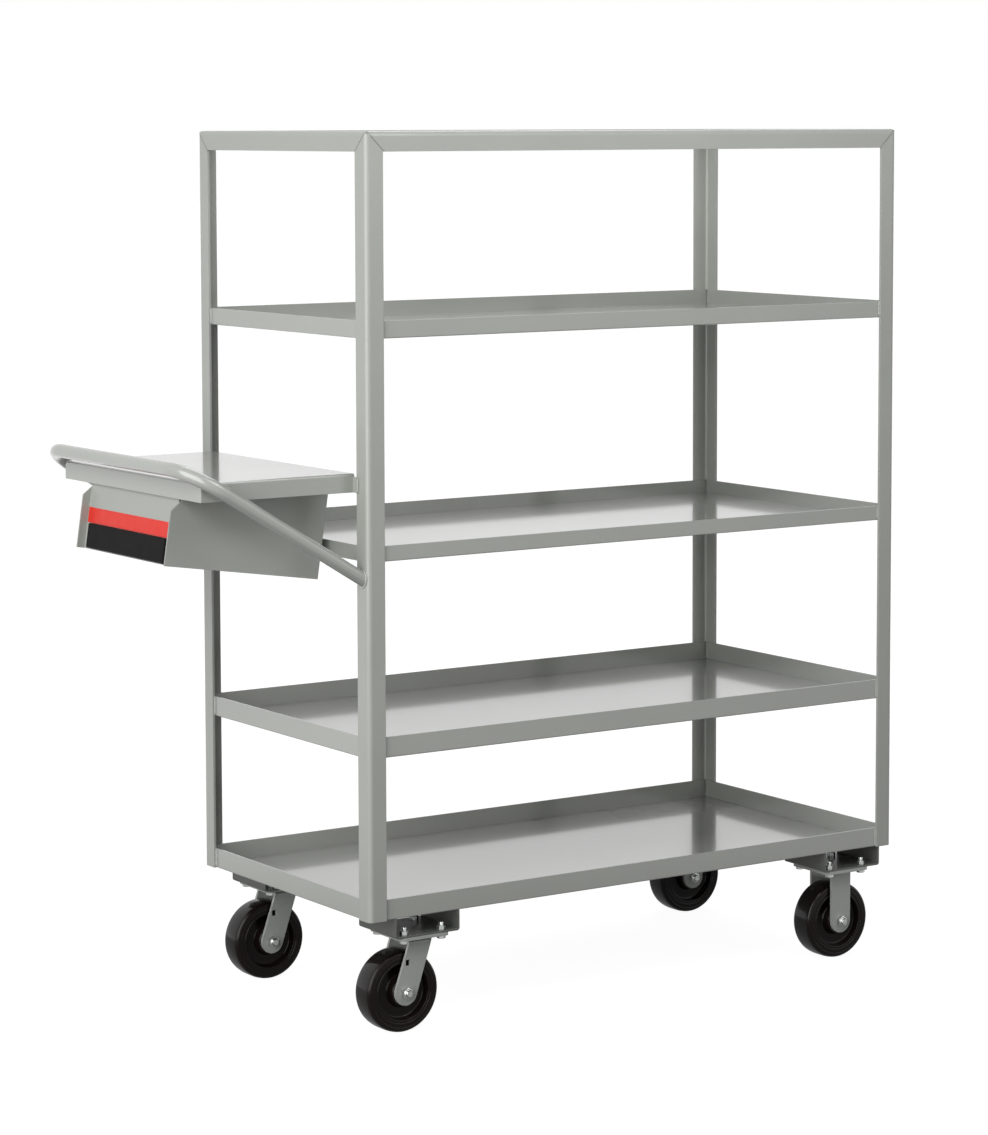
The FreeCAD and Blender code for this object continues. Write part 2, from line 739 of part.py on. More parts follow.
def make_handle():
    """Push handle: one bent tube whose two arms end flat against the left posts."""
    slope = dim("handle_tilt")
    arm = dim("handle_reach") / cosine(slope)
    spread = dim("frame_width") / 2 - dim("angle_leg") / 2
    bend = dim("handle_bend")
    spare = dim("handle_tube") * 2
    body = new_body("push_handle", (left_face, ZERO, dim("handle_weld_height")))
    path = new_sketch(body, "path", "XY_Plane")
    path.AttachmentOffset = FreeCAD.Placement(
        FreeCAD.Vector(0, 0, 0), FreeCAD.Rotation(FreeCAD.Vector(0, 1, 0), slope.number))
    bind(path, "AttachmentOffset.Rotation.Angle", slope)
    corner = math.sqrt(0.5)
    stops = [(spare, -spread), (bend - arm, -spread), (-arm, bend - spread),
             (-arm, spread - bend), (bend - arm, spread), (spare, spread)]
    middles = {1: (bend - arm - bend * corner, bend - spread - bend * corner),
               3: (bend - arm - bend * corner, spread - bend + bend * corner)}
    for index in range(5):
        ends = [FreeCAD.Vector(x.number, y.number, 0) for x, y in (stops[index], stops[index + 1])]
        if index in middles:
            x, y = middles[index]
            path.addGeometry(Part.Arc(ends[0], FreeCAD.Vector(x.number, y.number, 0), ends[1]), False)
        else:
            path.addGeometry(Part.LineSegment(*ends), False)
    for index in (0, 2, 4):
        pin_point(path, index, 1, stops[index])
        pin_point(path, index, 2, stops[index + 1])
    for index, (x, y) in ((1, (bend - arm, bend - spread)), (3, (bend - arm, spread - bend))):
        pin_point(path, index, 3, (x, y))
    doc.recompute()
    ring = new_sketch(body, "ring", "YZ_Plane")
    ring.AttachmentOffset = FreeCAD.Placement(
        FreeCAD.Vector(0, 0, 0), FreeCAD.Rotation(FreeCAD.Vector(1, 0, 0), slope.number))
    bind(ring, "AttachmentOffset.Rotation.Angle", slope)
    bind(ring, "AttachmentOffset.Base.x", -spread)
    bind(ring, "AttachmentOffset.Base.y", -(spare * sine(slope)))
    bind(ring, "AttachmentOffset.Base.z", spare * cosine(slope))
    add_circle(ring, (0, 0), dim("handle_tube") / 2)
    add_circle(ring, (0, 0), dim("handle_tube") / 2 - dim("handle_wall"))
    doc.recompute()
    pipe = body.newObject("PartDesign::AdditivePipe", "push_handle_pipe")
    pipe.Profile = ring
    pipe.Spine = (path, [f"Edge{index}" for index in range(1, 6)])
    doc.recompute()
    trim = new_sketch(body, "trim", "YZ_Plane")
    reach = spread + spare
    add_rectangle(trim, (-reach, -reach), (reach, reach))
    pocket(body, trim, reach, reverse=True)


def make_shelf():
    """Writing shelf: a flat top with lips down on three sides and a tab at each post."""
    depth, lip, wall = dim("shelf_depth"), dim("shelf_lip"), dim("shelf_sheet")
    half = dim("frame_width") / 2 - dim("shelf_side_gap")
    body = new_body("writing_shelf", (left_face, ZERO, shelf_height))
    block = new_sketch(body, "block", "XY_Plane")
    add_rectangle(block, (-depth, -half), (ZERO, half))
    pad(body, block, lip, reverse=True)
    bends = all_of(both_at(2, 0.0), any_of(
        both_at(0, -depth.number), both_at(1, half.number), both_at(1, -half.number)))
    round_edges(body, dim("shelf_bend"), bends)
    hollow = new_sketch(body, "hollow", "XY_Plane")
    bind(hollow, "AttachmentOffset.Base.z", -lip)
    add_rectangle(hollow, (wall - depth, wall - half), (wall, half - wall))
    pocket(body, hollow, lip - wall, reverse=True)
    tabs = new_sketch(body, "tabs", "YZ_Plane")
    for side in (-1, 1):
        inner = (half - wall) * side
        add_polygon(tabs, [
            (inner, -lip), ((half + dim("shelf_tab")) * side, -lip),
            ((half + dim("shelf_tab")) * side, -wall * 2), (inner, -wall * 2),
        ])
    pad(body, tabs, wall, reverse=True)


def make_pocket():
    """Storage pocket: a bent trough between two side panels, hung under the shelf at a slant."""
    tilt, wall = dim("pocket_tilt"), dim("pocket_sheet")
    floor = (pocket_reach - dim("pocket_inner_gap")) / cosine(tilt)
    recess, half = dim("pocket_recess"), dim("pocket_width") / 2
    place = (left_face - pocket_reach, ZERO, shelf_height - dim("pocket_drop"))
    headroom = (dim("pocket_drop") - dim("shelf_sheet")) / cosine(tilt)
    slant = tangent(tilt)

    def tilted(label):
        return new_body(label, place, (0, 1, 0), tilt)

    edge, chamfer = dim("pocket_edge"), dim("pocket_chamfer")
    for label, side in (("pocket_side_front", -1), ("pocket_side_back", 1)):
        body = tilted(label)
        panel = new_sketch(body, "panel", "XZ_Plane")
        bind(panel, "AttachmentOffset.Base.z", -(half * side))
        add_polygon(panel, [
            (0, 0), (floor, 0), (floor, headroom + floor * slant),
            (chamfer, headroom + chamfer * slant), (chamfer, edge + chamfer), (0, edge),
        ])
        pad(body, panel, wall, reverse=side < 0)
    trough = tilted("pocket_trough")
    bent = new_sketch(trough, "bent", "XZ_Plane")
    top, back = headroom + recess * slant, dim("pocket_back")
    add_polygon(bent, [
        (recess, 0), (floor, 0), (floor, back), (floor - wall, back), (floor - wall, wall),
        (recess + wall, wall), (recess + wall, top), (recess, top),
    ])
    pad(trough, bent, (half - wall) * 2, symmetric=True)
    strip = tilted("label_strip")
    face = new_sketch(strip, "face", "YZ_Plane")
    bind(face, "AttachmentOffset.Base.z", recess)
    strip_half, strip_low = half - dim("strip_side_gap"), dim("strip_rise")
    add_rectangle(face, (-strip_half, strip_low), (strip_half, strip_low + dim("strip_height")))
    pad(strip, face, dim("strip_wall"), reverse=True)
    holder = tilted("label_holder")
    block = new_sketch(holder, "block", "YZ_Plane")
    bind(block, "AttachmentOffset.Base.z", recess)
    holder_half, holder_low = half - dim("holder_side_gap"), dim("holder_rise")
    add_rectangle(block, (-holder_half, holder_low), (holder_half, holder_low + dim("holder_height")))
    pad(holder, block, dim("holder_wall"), reverse=True)
    front_edges = both_at(0, (recess - dim("holder_wall")).number)
    round_edges(holder, dim("holder_round"), any_of(along(0), front_edges))


def write_parts():
    """Checks every object of the document, then writes one file for each node."""
    doc.recompute()
    for item in doc.Objects:
        if "Invalid" in item.State or "Error" in item.State:
            raise ValueError(f"{item.Label} is {item.State}")
    for label, body in nodes.items():
        if body.Shape.isNull() or not body.Shape.isValid():
            raise ValueError(f"{label} has no valid shape")
    os.makedirs("parts", exist_ok=True)
    for label, body in nodes.items():
        body.Shape.exportStep(f"parts/{label}.step")


make_frame()
make_tray("tray_bottom", tray_one_height, dim("lip_one"))
make_tray("tray_second", dim("tray_two_height"), dim("lip_two"))
make_tray("tray_third", dim("tray_three_height"), dim("lip_three"))
make_tray("tray_top", dim("tray_four_height"), dim("lip_four"))
make_channel("channel_left", left_face + dim("left_channel_inset"), swivel_x)
make_channel("channel_right", right_face - dim("right_channel_inset"), rigid_x)
make_casters()
make_caster_fasteners()
make_handle()
make_shelf()
make_pocket()
write_parts()
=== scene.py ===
"""Dresses the order picking trolley: wheels, fasteners, weld beads, finishes, floor, light and camera."""

import logging
import math
from dataclasses import dataclass
from enum import Enum
from typing import Any, ClassVar, Iterable, Sequence

import bmesh
import bpy
from mathutils import Matrix, Vector


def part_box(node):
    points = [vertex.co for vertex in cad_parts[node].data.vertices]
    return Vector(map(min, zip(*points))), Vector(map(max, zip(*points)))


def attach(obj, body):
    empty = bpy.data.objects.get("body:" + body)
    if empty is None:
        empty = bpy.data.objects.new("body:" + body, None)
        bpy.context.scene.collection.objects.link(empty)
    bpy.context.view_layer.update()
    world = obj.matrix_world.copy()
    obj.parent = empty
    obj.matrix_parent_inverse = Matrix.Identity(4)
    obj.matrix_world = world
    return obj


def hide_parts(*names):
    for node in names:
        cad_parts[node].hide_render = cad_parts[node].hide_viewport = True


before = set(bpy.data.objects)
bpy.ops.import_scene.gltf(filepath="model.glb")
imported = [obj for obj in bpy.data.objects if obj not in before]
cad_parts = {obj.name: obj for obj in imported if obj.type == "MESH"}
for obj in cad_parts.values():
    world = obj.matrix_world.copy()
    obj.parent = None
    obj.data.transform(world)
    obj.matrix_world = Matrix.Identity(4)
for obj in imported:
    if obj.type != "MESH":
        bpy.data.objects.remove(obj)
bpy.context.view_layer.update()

LOG = logging.getLogger("order_picking_trolley")
MM = 0.001
# Faces that meet at a greater angle keep a sharp edge between them
SHARP_ANGLE = math.radians(32)
# Vertices of a spun shape that lie closer than this, in millimetres, are one
MERGE_DISTANCE = 0.001
# Values between which most of a noise pattern lies
NOISE_MIDDLE = (0.3, 0.7)
# Agreement of the rounded and the flat normal where the paler edge colour, part wear and part painted
# highlight, starts and where it is full
EDGE_TURN = (0.995, 0.80)
BEVEL_SAMPLES = 4
# Steps round a bolt's shank or a nut's bore
ROUND_STEPS = 24
Shape = bmesh.types.BMesh
Material = bpy.types.Material
Tree = bpy.types.NodeTree
Socket = bpy.types.NodeSocket
Point = tuple[float, float, float]
Range = tuple[float, float]


class CasterKind(Enum):
    """The two sorts of caster under the trolley."""

    SWIVEL = "swivel"
    RIGID = "rigid"


class Side(Enum):
    """The two long sides of the trolley, with the sign of their Y."""

    FRONT = -1
    BACK = 1

    @property
    def word(self) -> str:
        """The side's name as the nodes spell it."""
        return self.name.lower()


class Part(Enum):
    """Which finish a face of a two-finish piece takes."""

    MAIN = 0
    SECOND = 1


def linear(colour: str) -> tuple[float, float, float, float]:
    """Turns an sRGB hex colour to the linear values that a shader takes.

    Args:
        colour: six hex digits with a leading hash sign.

    Returns:
        Linear red, green, blue and a full alpha.
    """
    shares = [int(colour[place:place + 2], 16) / 255 for place in (1, 3, 5)]
    red, green, blue = [s / 12.92 if s <= 0.04045 else ((s + 0.055) / 1.055) ** 2.4 for s in shares]
    return red, green, blue, 1.0


def add_node(
    tree: Tree,
    kind: str,
    settings: dict[str, Any] | None = None,
    values: dict[str | int, Any] | None = None,
    links: dict[str | int, Socket] | None = None,
) -> bpy.types.Node:
    """Adds one shader node with its settings, its socket values and its links.

    Args:
        tree: the node tree that takes it.
        kind: the node's type name.
        settings: the node's own properties.
        values: plain numbers and colours for its inputs.
        links: outputs of other nodes, by the input that they feed.

    Returns:
        The new node.
    """
    node = tree.nodes.new(kind)
    for name, value in (settings or {}).items():
        setattr(node, name, value)
    for name, value in (values or {}).items():
        node.inputs[name].default_value = value
    for name, output in (links or {}).items():
        tree.links.new(output, node.inputs[name])
    return node


def empty_tree(material: Material) -> Tree:
    """Switches a material to nodes and clears them.

    Args:
        material: the new material.

    Returns:
        Its empty node tree.
    """
    material.use_nodes = True
    material.node_tree.nodes.clear()
    return material.node_tree


def node_box(node: str) -> tuple[Vector, Vector]:
    """Lowest and highest corner of a CAD node at rest, in millimetres."""
    low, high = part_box(node)
    return Vector(low) / MM, Vector(high) / MM


def dress(material: Material, *nodes: str) -> None:
    """Gives CAD nodes a finish.

    Args:
        material: the finish.
        nodes: the nodes' names.
    """
    for node in nodes:
        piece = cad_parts[node]
        if not piece.material_slots:
            piece.data.materials.append(material)
        for place in piece.material_slots:
            place.material = material
        LOG.info("dressed %s in %s", node, material.name)


def new_piece(
    name: str, shape: Shape, materials: Sequence[Material], body: str, nodes: Sequence[str] = ()
) -> bpy.types.Object:
    """Turns a finished shape in millimetres to an object of the trolley.

    Args:
        name: the piece's name.
        shape: its shape, which is used up.
        materials: its finishes, in the order of its material numbers.
        body: the CAD body that carries it.
        nodes: CAD nodes that it stands for.

    Returns:
        The new object.
    """
    bmesh.ops.scale(shape, vec=(MM, MM, MM), verts=shape.verts)
    mesh = bpy.data.meshes.new(name)
    shape.to_mesh(mesh)
    shape.free()
    mesh.shade_smooth()
    mesh.set_sharp_from_angle(angle=SHARP_ANGLE)
    for material in materials:
        mesh.materials.append(material)
    piece = bpy.data.objects.new(name, mesh)
    bpy.context.scene.collection.objects.link(piece)
    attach(piece, body)
    if nodes:
        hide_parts(*nodes)
    LOG.info("built %s, %d faces, on %s", name, len(mesh.polygons), body)
    return piece


def add_copies(whole: Shape, part: Shape, places: Iterable[Matrix]) -> None:
    """Adds copies of a small shape to a larger one.

    Args:
        whole: the shape that grows.
        part: the small shape, which is used up.
        places: one matrix for each copy.
    """
    carrier = bpy.data.meshes.new("carrier")
    part.to_mesh(carrier)
    part.free()
    for place in places:
        known = len(whole.verts)
        whole.from_mesh(carrier)
        whole.verts.ensure_lookup_table()
        bmesh.ops.transform(whole, matrix=place, verts=whole.verts[known:])
    bpy.data.meshes.remove(carrier)


def turned(section: Sequence[Range], steps: int, closed: bool) -> Shape:
    """Spins a section round the Z axis.

    Args:
        section: radius and height of each corner.
        steps: how many steps make the full turn.
        closed: whether the last corner joins the first.

    Returns:
        The turned shape, with its faces outwards.
    """
    shape = bmesh.new()
    chain = [shape.verts.new((radius, 0.0, height)) for radius, height in section]
    pairs = list(zip(chain, chain[1:] + chain[:1] if closed else chain[1:]))
    edges = [shape.edges.new(pair) for pair in pairs]
    bmesh.ops.spin(
        shape, geom=chain + edges, cent=(0, 0, 0), axis=(0, 0, 1), angle=math.tau, steps=steps,
        use_merge=True)
    bmesh.ops.remove_doubles(shape, verts=shape.verts, dist=MERGE_DISTANCE)
    bmesh.ops.recalc_face_normals(shape, faces=shape.faces)
    return shape


def soften(shape: Shape, offset: float, segments: int, sharper: float, span: Range) -> None:
    """Rounds the ring edges of a turned shape.

    Args:
        shape: the turned shape, round the Z axis.
        offset: how far the rounding reaches.
        segments: faces across the rounding.
        sharper: least angle between two faces that is rounded, in degrees.
        span: least and greatest radius of the edges that are rounded.
    """
    least, most = span
    rings = [
        edge for edge in shape.edges
        if len(edge.link_faces) == 2 and edge.calc_face_angle() > math.radians(sharper)
        and all(least <= vert.co.xy.length <= most for vert in edge.verts)
    ]
    bmesh.ops.bevel(
        shape, geom=rings, offset=offset, segments=segments, profile=0.5, affect="EDGES", material=-1)


def spread_gloss(tree: Tree, pattern: Socket, roughness: Range) -> Socket:
    """Spreads the middle values of a noise pattern over a range of roughness.

    Args:
        tree: the node tree that takes the node.
        pattern: the noise.
        roughness: least and greatest roughness.

    Returns:
        The roughness at each point.
    """
    least, most = NOISE_MIDDLE
    low, high = roughness
    return add_node(
        tree, "ShaderNodeMapRange",
        values={"From Min": least, "From Max": most, "To Min": low, "To Max": high},
        links={"Value": pattern}).outputs["Result"]


def wear_and_highlight_edges(tree: Tree, radius: float, share: float, base: Socket, edge: str) -> tuple[Socket, Socket]:
    """Rounds the normal at sharp edges and pales the colour there: partly the thinner film of wear, partly a
    painted highlight along the edge.

    Args:
        tree: the node tree that takes the nodes.
        radius: radius of the rounding, in millimetres.
        share: how much of the paler colour shows on a full edge.
        base: colour away from the edges.
        edge: the paler colour of wear and painted highlight, as sRGB hex.

    Returns:
        The rounded normal, and the colour with its paler edges of wear and painted highlight.
    """
    whole, bent = EDGE_TURN
    rounded = add_node(tree, "ShaderNodeBevel", {"samples": BEVEL_SAMPLES}, {"Radius": radius * MM})
    flat = add_node(tree, "ShaderNodeNewGeometry")
    turn = add_node(
        tree, "ShaderNodeVectorMath", {"operation": "DOT_PRODUCT"},
        links={0: rounded.outputs["Normal"], 1: flat.outputs["Normal"]})
    wear_and_highlight = add_node(
        tree, "ShaderNodeMapRange", values={"From Min": whole, "From Max": bent, "To Max": share},
        links={"Value": turn.outputs["Value"]})
    worn_and_highlit = add_node(
        tree, "ShaderNodeMix", {"data_type": "RGBA"}, {"B": linear(edge)},
        {"Factor": wear_and_highlight.outputs["Result"], "A": base})
    return rounded.outputs["Normal"], worn_and_highlit.outputs["Result"]


@dataclass(frozen=True)
class MitreSeam:
    """The painted-over joint lines at the mitred corners of the frame, drawn as sunk grooves with the shade
    in them painted in as a dark line, sizes in millimetres.
    """

    width: float = 1.5
    depth: float = 4.5
    shade: str = "#5E605C"
    groove: float = 0.8
    strength: float = 0.8

    def mask(self, tree: Tree, place: Socket) -> Socket:
        """Finds the joint lines from how deep a point lies behind the frame's end, side and top faces.

        Args:
            tree: the node tree that takes the nodes.
            place: the point's Object coordinates.

        Returns:
            One on a joint line, falling to zero beside it.
        """
        low, high = node_box("top_rail_front")
        middle = Vector(((low.x + high.x) / 2, 0.0, 0.0)) * MM
        outer = Vector(((high.x - low.x) / 2, -low.y, high.z)) * MM
        offset = add_node(tree, "ShaderNodeVectorMath", {"operation": "SUBTRACT"}, {1: middle}, {0: place})
        across = add_node(
            tree, "ShaderNodeVectorMath", {"operation": "ABSOLUTE"}, links={0: offset.outputs["Vector"]})
        inwards = add_node(
            tree, "ShaderNodeVectorMath", {"operation": "SUBTRACT"}, {0: outer},
            {1: across.outputs["Vector"]})
        depths = add_node(tree, "ShaderNodeSeparateXYZ", links={"Vector": inwards.outputs["Vector"]}).outputs
        lines = []
        for first, second, third in (("X", "Z", "Y"), ("Y", "Z", "X"), ("X", "Y", "Z")):
            apart = add_node(
                tree, "ShaderNodeMath", {"operation": "SUBTRACT"},
                links={0: depths[first], 1: depths[second]})
            away = add_node(
                tree, "ShaderNodeMath", {"operation": "ABSOLUTE"}, links={0: apart.outputs["Value"]})
            line = add_node(
                tree, "ShaderNodeMapRange",
                values={"From Max": self.width * MM, "To Min": 1.0, "To Max": 0.0},
                links={"Value": away.outputs["Value"]})
            outside = add_node(
                tree, "ShaderNodeMath", {"operation": "LESS_THAN"}, {1: self.depth * MM}, {0: depths[third]})
            lines.append(add_node(
                tree, "ShaderNodeMath", {"operation": "MULTIPLY"},
                links={0: line.outputs["Result"], 1: outside.outputs["Value"]}).outputs["Value"])
        pair = add_node(tree, "ShaderNodeMath", {"operation": "MAXIMUM"}, links={0: lines[0], 1: lines[1]})
        return add_node(
            tree, "ShaderNodeMath", {"operation": "MAXIMUM"},
            links={0: pair.outputs["Value"], 1: lines[2]}).outputs["Value"]


@dataclass(frozen=True)
class PowderCoat:
    """Baked powder coat on sheet steel: semi-gloss, with a faint orange peel, sizes in millimetres."""

    name: str
    dark: str
    pale: str
    edge: str
    roughness: Range
    gloss: float = 0.9
    seam: MitreSeam | None = None
    cloud_size: float = 120.0
    fold: float = 1.3
    wear_and_highlight_share: float = 0.55
    peel_size: float = 5.0
    peel_depth: float = 0.25
    peel_strength: float = 0.10

    def material(self) -> Material:
        """Builds the finish.

        Returns:
            A material of soft clouded grey whose sharp edges are paler, partly wear and partly painted
            highlight.
        """
        material = bpy.data.materials.new(self.name)
        tree = empty_tree(material)
        place = add_node(tree, "ShaderNodeTexCoord").outputs["Object"]
        # Film thickness drifts over a hand's width, which clouds the grey a little
        cloud = add_node(
            tree, "ShaderNodeTexNoise", values={"Scale": 1 / (self.cloud_size * MM), "Detail": 3.0},
            links={"Vector": place})
        grey = add_node(
            tree, "ShaderNodeMix", {"data_type": "RGBA"}, {"A": linear(self.dark), "B": linear(self.pale)},
            {"Factor": cloud.outputs["Fac"]})
        # Real folds have a corner of about 1 mm; the rounded normal marks the edges, where the colour is
        # painted paler, partly for the thinner film and partly as a painted highlight
        rounded, colour = wear_and_highlight_edges(tree, self.fold, self.wear_and_highlight_share, grey.outputs["Result"], self.edge)
        # Orange peel is about 2 mm from crest to crest, drawn at 5 mm so that it shows
        peel = add_node(
            tree, "ShaderNodeTexNoise", values={"Scale": 1 / (self.peel_size * MM), "Detail": 2.0},
            links={"Vector": place})
        bump = add_node(
            tree, "ShaderNodeBump", values={"Strength": self.peel_strength, "Distance": self.peel_depth * MM},
            links={"Height": peel.outputs["Fac"], "Normal": rounded})
        if self.seam:
            # The ground weld leaves a shallow groove; the shade that falls in it is painted in as a dark
            # line, and the bump sinks the groove
            joint = self.seam.mask(tree, place)
            colour = add_node(
                tree, "ShaderNodeMix", {"data_type": "RGBA"}, {"B": linear(self.seam.shade)},
                {"Factor": joint, "A": colour}).outputs["Result"]
            bump = add_node(
                tree, "ShaderNodeBump", {"invert": True},
                {"Strength": self.seam.strength, "Distance": self.seam.groove * MM},
                {"Height": joint, "Normal": bump.outputs["Normal"]})
        skin = add_node(
            tree, "ShaderNodeBsdfPrincipled",
            values={"IOR": 1.45, "Coat Weight": self.gloss, "Coat Roughness": 0.1, "Coat IOR": 1.5},
            links={"Base Color": colour,
                   "Roughness": spread_gloss(tree, cloud.outputs["Fac"], self.roughness),
                   "Normal": bump.outputs["Normal"]})
        add_node(tree, "ShaderNodeOutputMaterial", links={"Surface": skin.outputs["BSDF"]})
        return material


@dataclass(frozen=True)
class BareMetal:
    """Metal with no paint, plated or ground: a clear reflection broken by fine marks, in millimetres."""

    name: str
    dark: str
    pale: str
    roughness: Range
    grain: float
    corner: float = 0.4
    mark_size: float = 1.0
    mark_depth: float = 0.05
    mark_strength: float = 0.15

    def material(self) -> Material:
        """Builds the finish.

        Returns:
            A metal whose tint and gloss change from spot to spot.
        """
        material = bpy.data.materials.new(self.name)
        tree = empty_tree(material)
        place = add_node(tree, "ShaderNodeTexCoord").outputs["Object"]
        # Plating varies over a few millimetres, which tints the metal
        spot = add_node(
            tree, "ShaderNodeTexNoise", values={"Scale": 1 / (self.grain * MM), "Detail": 4.0},
            links={"Vector": place})
        tint = add_node(
            tree, "ShaderNodeMix", {"data_type": "RGBA"}, {"A": linear(self.dark), "B": linear(self.pale)},
            {"Factor": spot.outputs["Fac"]})
        rounded = add_node(
            tree, "ShaderNodeBevel", {"samples": BEVEL_SAMPLES}, {"Radius": self.corner * MM})
        # Rolled and cut marks under 0.3 mm, drawn at 1 mm so that they show
        marks = add_node(
            tree, "ShaderNodeTexNoise", values={"Scale": 1 / (self.mark_size * MM), "Detail": 2.0},
            links={"Vector": place})
        bump = add_node(
            tree, "ShaderNodeBump", values={"Strength": self.mark_strength, "Distance": self.mark_depth * MM},
            links={"Height": marks.outputs["Fac"], "Normal": rounded.outputs["Normal"]})
        skin = add_node(
            tree, "ShaderNodeBsdfPrincipled", values={"Metallic": 1.0},
            links={"Base Color": tint.outputs["Result"],
                   "Roughness": spread_gloss(tree, spot.outputs["Fac"], self.roughness),
                   "Normal": bump.outputs["Normal"]})
        add_node(tree, "ShaderNodeOutputMaterial", links={"Surface": skin.outputs["BSDF"]})
        return material


@dataclass(frozen=True)
class MouldedResin:
    """A moulded polymer: even colour with faint flecks of filler and paler edges of wear and painted
    highlight, sizes in millimetres.
    """

    name: str
    base: str
    fleck: str
    edge: str
    fleck_size: float
    roughness: Range
    grain: float
    grain_depth: float
    shine: float
    fleck_share: float = 0.8
    corner: float = 0.8
    wear_and_highlight_share: float = 0.6
    scuff_size: float = 25.0
    grain_strength: float = 0.2

    def material(self) -> Material:
        """Builds the finish.

        Returns:
            A dielectric with flecks, a fine moulded grain and slightly paler edges, part wear and part
            painted highlight.
        """
        material = bpy.data.materials.new(self.name)
        tree = empty_tree(material)
        place = add_node(tree, "ShaderNodeTexCoord").outputs["Object"]
        # Chopped filler shows as small patches of a slightly different tone
        filler = add_node(
            tree, "ShaderNodeTexVoronoi", values={"Scale": 1 / (self.fleck_size * MM)},
            links={"Vector": place})
        share = add_node(
            tree, "ShaderNodeMapRange",
            values={"From Min": 0.1, "From Max": 0.8, "To Max": self.fleck_share},
            links={"Value": filler.outputs["Distance"]})
        tone = add_node(
            tree, "ShaderNodeMix", {"data_type": "RGBA"}, {"A": linear(self.base), "B": linear(self.fleck)},
            {"Factor": share.outputs["Result"]})
        # The edges are painted paler, partly for wear and partly as a painted highlight
        rounded, colour = wear_and_highlight_edges(tree, self.corner, self.wear_and_highlight_share, tone.outputs["Result"], self.edge)
        # Scuffs from handling make the gloss drift
        scuff = add_node(
            tree, "ShaderNodeTexNoise", values={"Scale": 1 / (self.scuff_size * MM), "Detail": 5.0},
            links={"Vector": place})
        grain = add_node(
            tree, "ShaderNodeTexNoise", values={"Scale": 1 / (self.grain * MM), "Detail": 2.0},
            links={"Vector": place})
        bump = add_node(
            tree, "ShaderNodeBump",
            values={"Strength": self.grain_strength, "Distance": self.grain_depth * MM},
            links={"Height": grain.outputs["Fac"], "Normal": rounded})
        skin = add_node(
            tree, "ShaderNodeBsdfPrincipled", values={"IOR": 1.52, "Specular IOR Level": self.shine},
            links={"Base Color": colour,
                   "Roughness": spread_gloss(tree, scuff.outputs["Fac"], self.roughness),
                   "Normal": bump.outputs["Normal"]})
        add_node(tree, "ShaderNodeOutputMaterial", links={"Surface": skin.outputs["BSDF"]})
        return material


@dataclass
class Palette:
    """Every finish of the trolley, built once."""

    frame_paint: Material
    pocket_paint: Material
    mitred_paint: Material
    thin_paint: Material
    caster_paint: Material
    zinc: Material
    bearing: Material
    phenolic: Material
    tread: Material
    red_vinyl: Material
    black_abs: Material
    nylon: Material

    @classmethod
    def build(cls) -> "Palette":
        """Builds all finishes from their real materials.

        Returns:
            The palette.
        """
        return cls(
            # Baked grey powder coat: pale on lit faces, soft reflections on the trays
            frame_paint=PowderCoat(
                "grey_powder_coat_on_sheet_steel", "#9A9C97", "#9FA19B", "#B8BAB5",
                roughness=(0.24, 0.27)).material(),
            # On the folded pocket the same coat came out duller, with no clear reflections
            pocket_paint=PowderCoat(
                "grey_powder_coat_on_folded_pocket", "#9A9C97", "#A0A29C", "#B8BAB5",
                roughness=(0.34, 0.42), gloss=0.2).material(),
            # The same coat over the mitred angles, whose joints stay visible as thin lines of painted shade
            mitred_paint=PowderCoat(
                "grey_powder_coat_on_mitred_angle", "#9C9E99", "#A5A7A1", "#B8BAB5",
                roughness=(0.30, 0.38), gloss=0.25, seam=MitreSeam()).material(),
            # A darker copy of the grey for the channels under the lowest tray: painted shade, standing for
            # the shade that falls there
            thin_paint=PowderCoat(
                "thin_grey_powder_coat_on_dark_steel", "#4C4E4A", "#595B56", "#8C8E89",
                roughness=(0.34, 0.44), gloss=0.2).material(),
            # Grey enamel sprayed over the casters: smooth, with the frame's colour
            caster_paint=PowderCoat(
                "grey_sprayed_enamel_on_pressed_steel", "#979A97", "#A2A5A1", "#B9BCB8",
                roughness=(0.24, 0.34)).material(),
            # Bright zinc plate: cool white metal with a faint blue cast
            zinc=BareMetal(
                "bright_zinc_plate_on_cut_steel", "#AEB3B4", "#D4D6D2",
                roughness=(0.20, 0.36), grain=6.0).material(),
            # Ground bearing steel: darker and clearer
            bearing=BareMetal(
                "ground_bearing_steel", "#8B8D8F", "#A7A8A8", roughness=(0.14, 0.24), grain=9.0).material(),
            # Moulded phenolic with chopped cloth filler: smooth brown black
            phenolic=MouldedResin(
                "moulded_phenolic_with_cloth_filler", "#100C0B", "#19120F", "#2E2826", fleck_size=3.5,
                roughness=(0.16, 0.26), grain=1.2, grain_depth=0.05, shine=0.16).material(),
            # Turned tread of the same, polished by the floor: dark, with sharp streaks of light
            tread=MouldedResin(
                "turned_phenolic_tread", "#110E0D", "#191514", "#302C2A", fleck_size=3.5,
                roughness=(0.10, 0.18), grain=1.2, grain_depth=0.06, shine=0.3).material(),
            # Calendered red vinyl: even, slightly shiny
            red_vinyl=MouldedResin(
                "calendered_red_vinyl", "#D0271A", "#D62D1F", "#E84A3B", fleck_size=9.0,
                roughness=(0.28, 0.38), grain=1.5, grain_depth=0.03, shine=0.30).material(),
            # Moulded black ABS with a fine spark grain: matt, with hardly a highlight, and a greyer edge
            # colour that is a painted highlight on its edges
            black_abs=MouldedResin(
                "moulded_black_abs", "#100F0F", "#151313", "#565454", fleck_size=2.0,
                roughness=(0.34, 0.46), grain=0.9, grain_depth=0.08, shine=0.04).material(),
            # Locking ring of dyed nylon in the axle nuts: dark and dull against the zinc
            nylon=MouldedResin(
                "moulded_grey_nylon", "#23262B", "#2B2F35", "#3A3F45", fleck_size=2.0,
                roughness=(0.40, 0.50), grain=0.8, grain_depth=0.03, shine=0.40).material(),
        )


